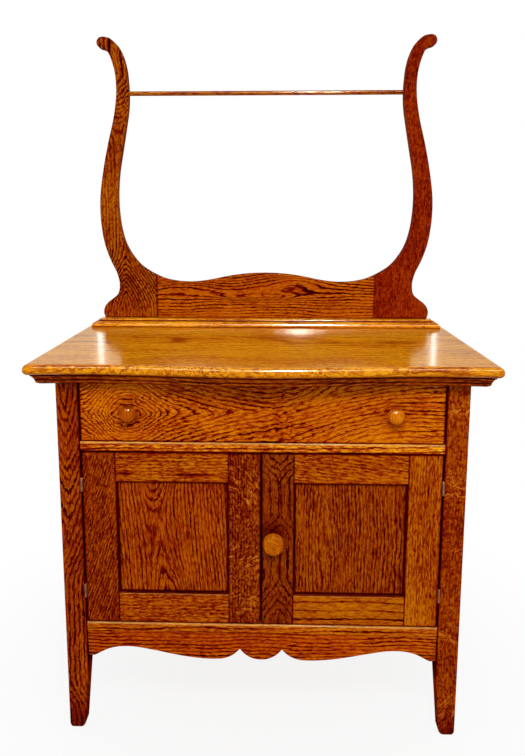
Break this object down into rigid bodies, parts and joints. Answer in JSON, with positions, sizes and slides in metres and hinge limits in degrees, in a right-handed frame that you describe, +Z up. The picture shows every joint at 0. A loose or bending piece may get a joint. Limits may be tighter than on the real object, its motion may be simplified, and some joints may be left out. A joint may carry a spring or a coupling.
{
  "type": "washstand",
  "caption": "Oak washstand with a serpentine top, a drawer over a double-door cupboard, a shaped apron, tapered legs and a lyre-shaped back with a towel rod.",
  "frame": {"origin": "on the floor under the middle of the outer box", "axes": "+X to the right and +Y to the back, seen from the front, where the drawer and the doors open; +Z up"},
  "size_m": [0.835, 0.499, 1.381],
  "materials": {
    "oak": "varnished",
    "golden_oak": "gloss varnish",
    "dark_oak": "varnished",
    "bare_oak": "bare",
    "brass": "aged",
    "steel": "plain"
  },
  "bodies": {
    "case": {"front_left_leg": "oak", "front_right_leg": "oak", "rear_left_leg": "oak", "rear_right_leg": "oak", "left_side_top_rail": "oak", "left_side_bottom_rail": "oak", "left_side_panel": "dark_oak", "right_side_top_rail": "oak", "right_side_bottom_rail": "oak", "right_side_panel": "dark_oak", "back_top_rail": "bare_oak", "back_bottom_rail": "bare_oak", "back_panel": "bare_oak", "top_front_rail": "oak", "drawer_rail": "golden_oak", "bottom_rail": "golden_oak", "front_apron": "oak", "cabinet_floor": "bare_oak", "drawer_runners": "bare_oak", "drawer_kickers": "bare_oak", "drawer_stops": "bare_oak", "tabletop": "golden_oak", "front_moulding": "dark_oak", "left_moulding": "dark_oak", "right_moulding": "dark_oak", "back_ledge": "golden_oak", "left_harp_post": "oak", "right_harp_post": "dark_oak", "harp_crest": "oak", "crest_dowels": "bare_oak", "towel_rod": "oak", "top_screws": "steel", "case_hinge_leaves": "brass", "hinge_pins": "brass", "case_hinge_screws": "brass"},
    "drawer": {"drawer_front": "golden_oak", "drawer_left_side": "bare_oak", "drawer_right_side": "bare_oak", "drawer_back": "bare_oak", "drawer_bottom": "bare_oak", "left_drawer_knob": "golden_oak", "right_drawer_knob": "golden_oak"},
    "left_door": {"left_door_hinge_stile": "oak", "left_door_meeting_stile": "oak", "left_door_top_rail": "oak", "left_door_bottom_rail": "oak", "left_door_panel": "dark_oak", "left_door_hinge_leaves": "brass", "left_door_screws": "brass", "bolt_plate": "brass"},
    "right_door": {"right_door_hinge_stile": "oak", "right_door_meeting_stile": "oak", "right_door_top_rail": "oak", "right_door_bottom_rail": "oak", "right_door_panel": "dark_oak", "right_door_hinge_leaves": "brass", "right_door_screws": "brass"},
    "door_bolt": {"door_bolt": "steel"},
    "door_latch": {"door_knob": "golden_oak", "latch_tongue": "brass"}
  },
  "joints": [
    {"name": "drawer_slide", "type": "slide", "parent": "case", "child": "drawer", "axis": [0, -1, 0], "range_m": [0, 0.3]},
    {"name": "left_door_hinge", "type": "hinge", "parent": "case", "child": "left_door", "pos_m": [-0.3309, -0.189, 0.3935], "axis": [0, 0, -1], "range_deg": [0, 170]},
    {"name": "right_door_hinge", "type": "hinge", "parent": "case", "child": "right_door", "pos_m": [0.3309, -0.189, 0.3935], "axis": [0, 0, 1], "range_deg": [0, 170]},
    {"name": "latch_turn", "type": "hinge", "parent": "right_door", "child": "door_latch", "pos_m": [0.023, -0.1765, 0.3935], "axis": [0, 1, 0], "range_deg": [0, 90]},
    {"name": "bolt_slide", "type": "slide", "parent": "left_door", "child": "door_bolt", "axis": [0, 0, 1], "range_m": [0, 0.01]}
  ]
}
